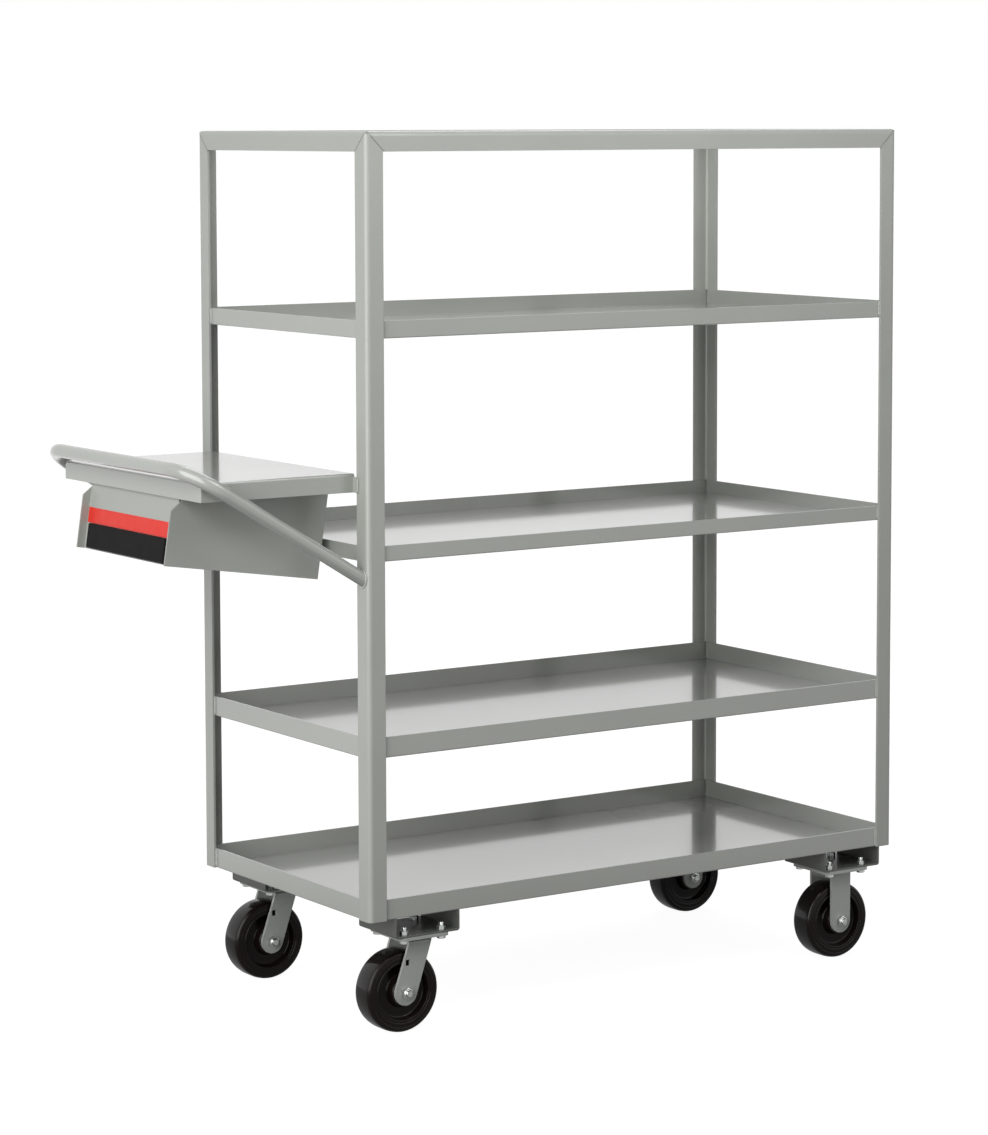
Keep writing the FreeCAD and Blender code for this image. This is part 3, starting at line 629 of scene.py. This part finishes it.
@dataclass(frozen=True)
class Hexagon:
    """A hexagon blank with coned corners, as on a bolt head or a nut, sizes in millimetres."""

    flats: float
    height: float
    bore: float
    coned_top: bool
    coned_bottom: bool
    cone_angle: float = 30.0
    crown_share: float = 0.47
    cone_share: float = 0.485
    corner_cuts: int = 3

    def shape(self) -> Shape:
        """Builds the blank, standing on the XY plane.

        Returns:
            The blank, solid where the bore is zero.
        """
        blank = bmesh.new()
        bmesh.ops.create_circle(blank, segments=6, radius=self.flats / math.sqrt(3.0))
        bmesh.ops.subdivide_edges(blank, edges=blank.edges, cuts=self.corner_cuts)
        outside = blank.edges[:]
        crown = self.add_ring(blank, self.flats * self.crown_share)
        bmesh.ops.bridge_loops(blank, edges=outside + crown)
        if self.bore > 0.0:
            hole = self.add_ring(blank, self.bore)
            bmesh.ops.bridge_loops(blank, edges=crown + hole)
        else:
            bmesh.ops.edgeloop_fill(blank, edges=crown)
        raised = bmesh.ops.extrude_face_region(blank, geom=blank.faces[:])["geom"]
        lifted = [item for item in raised if isinstance(item, bmesh.types.BMVert)]
        bmesh.ops.translate(blank, vec=(0, 0, self.height), verts=lifted)
        slope = math.tan(math.radians(self.cone_angle))
        for vert in blank.verts:
            drop = max(0.0, vert.co.xy.length - self.flats * self.cone_share) * slope
            if vert.co.z > self.height / 2 and self.coned_top:
                vert.co.z -= drop
            elif vert.co.z < self.height / 2 and self.coned_bottom:
                vert.co.z += drop
        bmesh.ops.recalc_face_normals(blank, faces=blank.faces)
        return blank

    @staticmethod
    def add_ring(blank: Shape, radius: float) -> list[bmesh.types.BMEdge]:
        """Adds a circle of edges to a blank.

        Args:
            blank: the blank that takes it.
            radius: the circle's radius.

        Returns:
            The circle's edges.
        """
        verts = bmesh.ops.create_circle(blank, segments=ROUND_STEPS, radius=radius)["verts"]
        return list({edge for vert in verts for edge in vert.link_edges})


@dataclass(frozen=True)
class Threaded:
    """A bolt's shank with a thread at its end, sizes in millimetres."""

    radius: float
    length: float
    threaded: float
    pitch: float
    depth_share: float = 0.45

    def shape(self) -> Shape:
        """Builds the shank from the XY plane upwards.

        Returns:
            The shank, with rings for the thread and a coned end.
        """
        depth = self.pitch * self.depth_share
        section = [(0.0, 0.0), (self.radius, 0.0)]
        turns = int((self.threaded - self.pitch) / self.pitch)
        start = self.length - self.pitch - turns * self.pitch
        for turn in range(turns):
            height = start + turn * self.pitch
            section += [(self.radius, height), (self.radius - depth, height + self.pitch / 2)]
        section += [
            (self.radius, self.length - self.pitch), (self.radius - depth, self.length), (0.0, self.length)]
        return turned(section, ROUND_STEPS, closed=False)


@dataclass(frozen=True)
class Bead:
    """A painted weld bead: a low ridge with the ripples of the arc's steps, sizes in millimetres."""

    radius: float
    ripple: float = 2.6
    valley: float = 0.80
    tail: float = 0.94
    straight_steps: int = 10
    ring_segments: int = 8
    ripple_steps: int = 4

    def straight(self, length: float) -> Shape:
        """Builds a straight bead up the Z axis.

        Args:
            length: its length.

        Returns:
            The bead, pointed at both ends.
        """
        count = max(3, round(length / self.ripple))
        step = length / count
        section = [(0.0, 0.0)]
        for index in range(count):
            section += [
                (self.radius * self.valley, (index + 0.1) * step), (self.radius, (index + 0.45) * step),
                (self.radius * self.tail, (index + 0.8) * step)]
        section.append((0.0, length))
        return turned(section, self.straight_steps, closed=False)

    def ring(self, radius: float, stretch: float) -> Shape:
        """Builds a bead round the X axis.

        Args:
            radius: the ring's radius along Y.
            stretch: how much longer the ring is along Z.

        Returns:
            The ring, centred on the origin.
        """
        shape = bmesh.new()
        verts = bmesh.ops.create_circle(
            shape, segments=self.ring_segments, radius=self.radius,
            matrix=Matrix.Translation((0, radius, 0)))["verts"]
        edges = shape.edges[:]
        # A ring has one ripple for every two of a straight bead
        steps = self.ripple_steps * round(math.tau * radius / self.ripple / 2)
        bmesh.ops.spin(
            shape, geom=verts + edges, cent=(0, 0, 0), axis=(1, 0, 0), angle=math.tau, steps=steps,
            use_merge=True)
        bmesh.ops.remove_doubles(shape, verts=shape.verts, dist=MERGE_DISTANCE)
        for vert in shape.verts:
            step = round(math.atan2(vert.co.z, vert.co.y) / math.tau * steps)
            if step % self.ripple_steps == 0:
                vert.co.x *= self.valley
        bmesh.ops.scale(shape, vec=(1, 1, stretch), verts=shape.verts)
        bmesh.ops.recalc_face_normals(shape, faces=shape.faces)
        return shape

    def between(self, whole: Shape, start: Point, end: Point) -> None:
        """Lays one straight bead.

        Args:
            whole: the shape that takes it.
            start: where it starts.
            end: where it ends.
        """
        path = Vector(end) - Vector(start)
        turn = path.to_track_quat("Z", "Y").to_matrix().to_4x4()
        add_copies(whole, self.straight(path.length), [Matrix.Translation(start) @ turn])


@dataclass
class AngleFrame:
    """Posts, top rails and trays, with the welds that hold the trays, sizes in millimetres."""

    palette: Palette
    leg: float = 36.5
    wall: float = 4.8
    foot_gap: float = 3.0
    lip_gap: float = 1.0
    bead: Bead = Bead(2.3)

    trays: ClassVar[tuple[str, ...]] = ("tray_bottom", "tray_second", "tray_third", "tray_top")
    rails: ClassVar[tuple[str, ...]] = (
        "top_rail_front", "top_rail_right", "top_rail_back", "top_rail_left")
    posts: ClassVar[tuple[str, ...]] = (
        "post_front_left", "post_front_right", "post_back_left", "post_back_right")

    def build(self) -> None:
        """Dresses the steelwork and lays the welds."""
        dress(self.palette.mitred_paint, *self.posts, *self.rails)
        dress(self.palette.frame_paint, *self.trays)
        for tray in self.trays:
            self.weld_tray(tray)

    def weld_tray(self, tray: str) -> None:
        """Lays an upright bead at the toe of every post leg against one tray.

        Args:
            tray: the tray's node.
        """
        low, high = node_box(tray)
        beads = bmesh.new()
        toe = self.leg - self.wall
        for corner_x, inward_x in ((low.x, 1), (high.x, -1)):
            for corner_y, inward_y in ((low.y, 1), (high.y, -1)):
                for x, y in ((corner_x + toe * inward_x, corner_y), (corner_x, corner_y + toe * inward_y)):
                    foot, top = (x, y, low.z + self.foot_gap), (x, y, high.z - self.lip_gap)
                    self.bead.between(beads, foot, top)
        new_piece(f"{tray}_welds", beads, [self.palette.frame_paint], "trolley_frame")


@dataclass
class Undercarriage:
    """Channels under the lowest tray and the bolts that hold the caster plates, sizes in millimetres."""

    palette: Palette
    span_x: float = 80.0
    span_y: float = 92.0
    bolt_radius: float = 4.75
    flats: float = 14.3
    head: float = 6.3
    nut: float = 8.3
    pitch: float = 1.6
    thread: float = 14.0
    slack: float = 0.06
    stitch: float = 60.0
    channel_length: float = 127.35
    bead: Bead = Bead(2.6)

    def build(self) -> None:
        """Dresses the channels and makes the fasteners and stitch welds."""
        # The channels take the darker grey of painted shade
        dress(self.palette.thin_paint, "channel_left", "channel_right")
        self.make_bolts()
        self.make_nuts()
        self.weld_channels()

    def places(self, height: float) -> list[Matrix]:
        """Bolt places in all four caster plates.

        Args:
            height: the Z of each place.

        Returns:
            One matrix for each bolt.
        """
        found = []
        for kind in CasterKind:
            for side in Side:
                low, high = node_box(f"{kind.value}_{side.word}_plate")
                middle = (low + high) / 2
                half_x, half_y = self.span_x / 2, self.span_y / 2
                found += [
                    Matrix.Translation((middle.x + along * half_x, middle.y + across * half_y, height))
                    for along in (-1, 1) for across in (-1, 1)]
        return found

    def make_bolts(self) -> None:
        """Makes the bolts, heads under the plates."""
        low, high = node_box("caster_bolts")
        seat = low.z + self.head
        bolts = bmesh.new()
        head = Hexagon(self.flats, self.head, 0.0, coned_top=False, coned_bottom=True)
        add_copies(bolts, head.shape(), self.places(low.z))
        shank = Threaded(self.bolt_radius, high.z - seat, self.thread, self.pitch)
        add_copies(bolts, shank.shape(), self.places(seat))
        new_piece(
            "caster_bolts_threaded", bolts, [self.palette.zinc], "trolley_frame",
            ["caster_bolts"])

    def make_nuts(self) -> None:
        """Makes the nuts inside the channels."""
        low, _ = node_box("caster_nuts")
        nuts = bmesh.new()
        nut = Hexagon(self.flats, self.nut, self.bolt_radius + self.slack, coned_top=True, coned_bottom=True)
        add_copies(nuts, nut.shape(), self.places(low.z))
        new_piece(
            "caster_nuts_coned", nuts, [self.palette.zinc], "trolley_frame",
            ["caster_nuts"])

    def weld_channels(self) -> None:
        """Lays a stitch weld along each side of every short channel, against the lowest tray."""
        beads = bmesh.new()
        for channel in ("channel_left", "channel_right"):
            low, high = node_box(channel)
            for x in (low.x, high.x):
                for y in (low.y + self.channel_length / 2, high.y - self.channel_length / 2):
                    near, far = y - self.stitch / 2, y + self.stitch / 2
                    self.bead.between(beads, (x, near, high.z), (x, far, high.z))
        new_piece("channel_stitch_welds", beads, [self.palette.frame_paint], "trolley_frame")


@dataclass
class Caster:
    """One caster: moulded wheel, axle bolt and lock nut, dressed fork and plate, sizes in millimetres."""

    palette: Palette
    kind: CasterKind
    side: Side
    tread: float = 76.2
    half: float = 25.4
    hub_half: float = 28.5
    bore: float = 15.0
    axle: float = 6.35
    flats: float = 19.05
    head: float = 8.0
    thread: float = 16.0
    pitch: float = 1.9
    collar: float = 3.2
    slack: float = 0.06
    wheel_steps: int = 96
    collar_steps: int = 36
    shoulder_radius: float = 2.2
    ring_radius: float = 0.35

    @property
    def prefix(self) -> str:
        """The start of all this caster's node names."""
        return f"{self.kind.value}_{self.side.word}"

    @property
    def fork_body(self) -> str:
        """The body that the fork and its axle ride on."""
        return f"{self.prefix}_fork_body" if self.kind is CasterKind.SWIVEL else "trolley_frame"

    def build(self) -> None:
        """Dresses the pressed and ground pieces and makes the turned ones."""
        name = self.prefix
        dress(self.palette.caster_paint, f"{name}_plate", f"{name}_fork")
        dress(self.palette.bearing, f"{name}_bushing", f"{name}_bearing_rollers")
        if self.kind is CasterKind.SWIVEL:
            dress(self.palette.bearing, f"{name}_balls", f"{name}_thrust_washer")
            dress(self.palette.zinc, f"{name}_kingpin")
        self.make_wheel()
        self.make_axle_bolt()
        self.make_lock_nut()

    def section(self) -> list[Range]:
        """Lists the wheel's section: hub, recessed web, ringed side rim, shoulder and crowned tread.

        Returns:
            Radius and offset from the wheel's middle plane of each corner.
        """
        side = [
            (self.bore, self.hub_half), (24.5, self.hub_half), (26.0, 27.0), (28.6, 14.5), (30.5, 12.0),
            (48.0, 12.0), (50.0, 13.5), (53.0, self.half - 0.6), (54.0, self.half), (56.4, self.half),
            (57.0, self.half - 0.8), (58.2, self.half - 0.8), (58.8, self.half), (65.2, self.half),
            (65.7, self.half - 0.5), (66.7, self.half - 0.5), (67.2, self.half), (70.7, self.half),
            (75.0, self.half - 4.0), (self.tread, 12.0)]
        return side + [(radius, -offset) for radius, offset in reversed(side)]

    def make_wheel(self) -> None:
        """Makes the moulded wheel, its tread a second finish."""
        low, high = node_box(f"{self.prefix}_wheel")
        wheel = turned(self.section(), self.wheel_steps, closed=True)
        soften(wheel, self.shoulder_radius, segments=4, sharper=12.0, span=(70.0, 76.0))
        soften(wheel, self.ring_radius, segments=2, sharper=25.0, span=(self.bore + 0.5, 69.0))
        for face in wheel.faces:
            if face.calc_center_median().xy.length > self.tread - 1.0:
                face.material_index = Part.SECOND.value
        place = Matrix.Translation((low + high) / 2) @ Matrix.Rotation(math.pi / 2, 4, "X")
        bmesh.ops.transform(wheel, matrix=place, verts=wheel.verts)
        new_piece(
            f"{self.prefix}_wheel_moulded", wheel, [self.palette.phenolic, self.palette.tread],
            f"{self.prefix}_wheel_body", [f"{self.prefix}_wheel"])

    def axle_place(self, y: float) -> Matrix:
        """A place on the axle whose Z axis points to the front.

        Args:
            y: where it lies along the axle.

        Returns:
            The place's matrix.
        """
        low, high = node_box(f"{self.prefix}_wheel")
        middle = (low + high) / 2
        return Matrix.Translation((middle.x, y, middle.z)) @ Matrix.Rotation(math.pi / 2, 4, "X")

    def make_axle_bolt(self) -> None:
        """Makes the axle bolt: coned head at the back, thread at the front."""
        low, high = node_box(f"{self.prefix}_axle_bolt")
        seat = high.y - self.head
        bolt = bmesh.new()
        head = Hexagon(self.flats, self.head, 0.0, coned_top=False, coned_bottom=True)
        add_copies(bolt, head.shape(), [self.axle_place(high.y)])
        shank = Threaded(self.axle, seat - low.y, self.thread, self.pitch)
        add_copies(bolt, shank.shape(), [self.axle_place(seat)])
        new_piece(
            f"{self.prefix}_axle_bolt_threaded", bolt, [self.palette.zinc], self.fork_body,
            [f"{self.prefix}_axle_bolt"])

    def make_lock_nut(self) -> None:
        """Makes the lock nut: coned hexagon, rolled collar and the ring of nylon in it."""
        low, high = node_box(f"{self.prefix}_axle_nut")
        tall = high.y - low.y
        base = tall - self.collar
        bore = self.axle + self.slack
        nut = bmesh.new()
        blank = Hexagon(self.flats, base, bore, coned_top=True, coned_bottom=True)
        add_copies(nut, blank.shape(), [self.axle_place(high.y)])
        rolled = [
            (8.9, base - 0.6), (8.9, base + 1.2), (8.5, base + 2.3), (7.9, tall - 0.25), (7.4, tall),
            (7.1, tall - 0.3), (7.1, base - 0.6)]
        add_copies(nut, turned(rolled, self.collar_steps, closed=True), [self.axle_place(high.y)])
        locking = [
            (7.05, base - 0.4), (7.05, tall - 0.7), (6.7, tall - 0.5), (bore, tall - 0.9), (bore, base - 0.4)]
        ring = turned(locking, self.collar_steps, closed=True)
        for face in ring.faces:
            face.material_index = Part.SECOND.value
        add_copies(nut, ring, [self.axle_place(high.y)])
        new_piece(
            f"{self.prefix}_axle_lock_nut", nut, [self.palette.zinc, self.palette.nylon], self.fork_body,
            [f"{self.prefix}_axle_nut"])


@dataclass
class WritingStation:
    """Writing shelf, storage pocket and push handle at the swivel end, sizes in millimetres."""

    palette: Palette
    tube: float = 25.4
    slope: float = 31.4
    leg: float = 36.5
    weld_height: float = 845.5
    tab_inset: float = 1.3
    tab_foot: float = 1.0
    tab_top: float = 7.0
    ring_bead: Bead = Bead(2.4)
    tab_bead: Bead = Bead(1.8)

    def build(self) -> None:
        """Dresses the sheet and tube and lays the welds."""
        dress(self.palette.frame_paint, "push_handle", "writing_shelf")
        dress(self.palette.pocket_paint, "pocket_trough", "pocket_side_front", "pocket_side_back")
        dress(self.palette.red_vinyl, "label_strip")
        dress(self.palette.black_abs, "label_holder")
        self.weld_handle()
        self.weld_shelf()

    def weld_handle(self) -> None:
        """Lays a ring of weld where each arm of the handle meets its post."""
        low, _ = node_box("post_front_left")
        _, back = node_box("post_back_left")
        rings = bmesh.new()
        stretch = 1 / math.cos(math.radians(self.slope))
        add_copies(rings, self.ring_bead.ring(self.tube / 2, stretch), [
            Matrix.Translation((low.x, y, self.weld_height))
            for y in (low.y + self.leg / 2, back.y - self.leg / 2)])
        new_piece("handle_welds", rings, [self.palette.frame_paint], "trolley_frame")

    def weld_shelf(self) -> None:
        """Lays a bead down the end of each shelf tab."""
        low, high = node_box("writing_shelf")
        beads = bmesh.new()
        x = high.x - self.tab_inset
        for y in (low.y, high.y):
            self.tab_bead.between(beads, (x, y, low.z + self.tab_foot), (x, y, high.z - self.tab_top))
        new_piece("shelf_tab_welds", beads, [self.palette.frame_paint], "trolley_frame")


@dataclass(frozen=True)
class SoftBox:
    """One square studio lamp, sizes in metres."""

    name: str
    place: Point
    target: Point
    size: float
    power: float

    def build(self) -> None:
        """Hangs the lamp and aims it."""
        lamp = bpy.data.lights.new(self.name, "AREA")
        lamp.shape = "SQUARE"
        lamp.size = self.size
        lamp.energy = self.power
        holder = bpy.data.objects.new(self.name, lamp)
        aim = (Vector(self.target) - Vector(self.place)).to_track_quat("-Z", "Y")
        holder.matrix_world = Matrix.Translation(self.place) @ aim.to_matrix().to_4x4()
        bpy.context.scene.collection.objects.link(holder)
        LOG.info("hung %s", self.name)


@dataclass(frozen=True)
class ViewPoint:
    """The photograph's camera: place in metres, angles in radians, focal length in image pixels."""

    place: Point = (-3.64685, -5.53534, 1.65598)
    yaw: float = 0.58805
    pitch: float = -0.08852
    roll: float = -0.00254
    focal: float = 3467.67
    long_side: float = 1135.0
    sensor: float = 36.0
    rise: float = -0.12
    reach: float = 200.0

    def build(self) -> None:
        """Sets up the camera and makes it the scene's."""
        data = bpy.data.cameras.new("studio_camera")
        data.sensor_width = self.sensor
        data.lens = self.focal / self.long_side * self.sensor
        data.shift_y = self.rise
        data.clip_end = self.reach
        camera = bpy.data.objects.new("studio_camera", data)
        turn = (
            Matrix.Rotation(-self.yaw, 4, "Z") @ Matrix.Rotation(math.pi / 2 + self.pitch, 4, "X")
            @ Matrix.Rotation(self.roll, 4, "Z"))
        camera.matrix_world = Matrix.Translation(self.place) @ turn
        bpy.context.scene.collection.objects.link(camera)
        bpy.context.scene.camera = camera


@dataclass
class Studio:
    """White floor, soft lamps and the camera, sizes in metres."""

    floor_half: float = 60.0
    floor_grey: str = "#787878"
    surround: str = "#FFFFFF"
    ambient: float = 0.12
    near_white: float = 0.95
    # Glow of the floor in reflections near the trolley, kept low as a painted shade
    near_mirrored_painted_shade: float = 0.3
    far_white: float = 1.02
    shade_reach: float = 0.9
    white_reach: float = 4.5
    painted_shade_reach: float = 1.9
    lamps: tuple[SoftBox, ...] = (
        SoftBox("key_left", (-4.3, -1.8, 2.3), (0.0, 0.0, 1.1), 4.6, 275.0),
        SoftBox("fill_front", (0.1, -1.6, 2.6), (0.1, 0.0, 1.6), 1.2, 19.0),
        SoftBox("fill_right", (3.2, -4.4, 3.0), (0.0, 0.0, 2.6), 3.4, 32.0),
        SoftBox("back_right", (2.2, 2.6, 4.8), (0.0, 0.0, 0.9), 2.6, 60.0),
    )
    view: ViewPoint = ViewPoint()

    def build(self) -> None:
        """Sets the scene round the trolley."""
        bpy.context.scene.view_settings.view_transform = "Standard"
        self.make_floor()
        self.make_world()
        for lamp in self.lamps:
            lamp.build()
        self.view.build()

    @staticmethod
    def sight(tree: Tree) -> tuple[Socket, Socket]:
        """Tells which rays look at the surround.

        Args:
            tree: the node tree that asks.

        Returns:
            Two outputs: one for a ray from the camera, and one for a ray from a reflection or a clear body.
        """
        path = add_node(tree, "ShaderNodeLightPath")
        mirrored = add_node(
            tree, "ShaderNodeMath", {"operation": "MAXIMUM"},
            links={0: path.outputs["Is Glossy Ray"], 1: path.outputs["Is Transmission Ray"]})
        return path.outputs["Is Camera Ray"], mirrored.outputs["Value"]

    def make_floor(self) -> None:
        """Makes the floor: matt, white to the eye, darkened by the real shadow where the trolley shades it,
        and with a painted shade round the trolley where reflections see it.
        """
        shape = bmesh.new()
        bmesh.ops.create_grid(shape, x_segments=1, y_segments=1, size=self.floor_half)
        mesh = bpy.data.meshes.new("studio_floor")
        shape.to_mesh(mesh)
        shape.free()
        material = bpy.data.materials.new("matt_white_studio_floor")
        tree = empty_tree(material)
        matt = add_node(tree, "ShaderNodeBsdfDiffuse", values={"Color": linear(self.floor_grey)})
        # The lamps make up the white near the trolley; in reflections the glow is turned down near the
        # trolley, a painted shade for the trolley's shade on the floor there
        place = add_node(tree, "ShaderNodeTexCoord").outputs["Object"]
        away = add_node(tree, "ShaderNodeVectorMath", {"operation": "LENGTH"}, links={0: place})
        seen = ((self.near_white, self.white_reach), (self.near_mirrored_painted_shade, self.painted_shade_reach))
        surface = matt.outputs["BSDF"]
        for ray, (near, far) in zip(self.sight(tree), seen):
            fade = add_node(
                tree, "ShaderNodeMapRange", {"interpolation_type": "SMOOTHSTEP"},
                {"From Min": self.shade_reach, "From Max": far, "To Min": near, "To Max": self.far_white},
                {"Value": away.outputs["Value"]})
            glow = add_node(
                tree, "ShaderNodeEmission", links={"Color": ray, "Strength": fade.outputs["Result"]})
            both = add_node(
                tree, "ShaderNodeAddShader", links={0: surface, 1: glow.outputs["Emission"]})
            surface = both.outputs["Shader"]
        add_node(tree, "ShaderNodeOutputMaterial", links={"Surface": surface})
        mesh.materials.append(material)
        floor = bpy.data.objects.new("studio_floor", mesh)
        bpy.context.scene.collection.objects.link(floor)

    def make_world(self) -> None:
        """Makes the surround: white to the eye, a soft light on the trolley."""
        world = bpy.data.worlds.new("studio_surround")
        bpy.context.scene.world = world
        world.use_nodes = True
        tree = world.node_tree
        tree.nodes.clear()
        colour = linear(self.surround)
        soft = add_node(tree, "ShaderNodeBackground", values={"Color": colour, "Strength": self.ambient})
        white = add_node(tree, "ShaderNodeBackground", values={"Color": colour, "Strength": 1.0})
        camera, mirrored = self.sight(tree)
        seen = add_node(tree, "ShaderNodeMath", {"operation": "MAXIMUM"}, links={0: camera, 1: mirrored})
        mixed = add_node(
            tree, "ShaderNodeMixShader",
            links={0: seen.outputs["Value"], 1: soft.outputs["Background"], 2: white.outputs["Background"]})
        add_node(tree, "ShaderNodeOutputWorld", links={"Surface": mixed.outputs["Shader"]})


def main() -> None:
    """Builds the trolley's looks in order."""
    logging.basicConfig(level=logging.INFO, format="%(message)s")
    palette = Palette.build()
    AngleFrame(palette).build()
    Undercarriage(palette).build()
    for kind in CasterKind:
        for side in Side:
            Caster(palette, kind, side).build()
    WritingStation(palette).build()
    Studio().build()


if __name__ == "__main__":
    main()
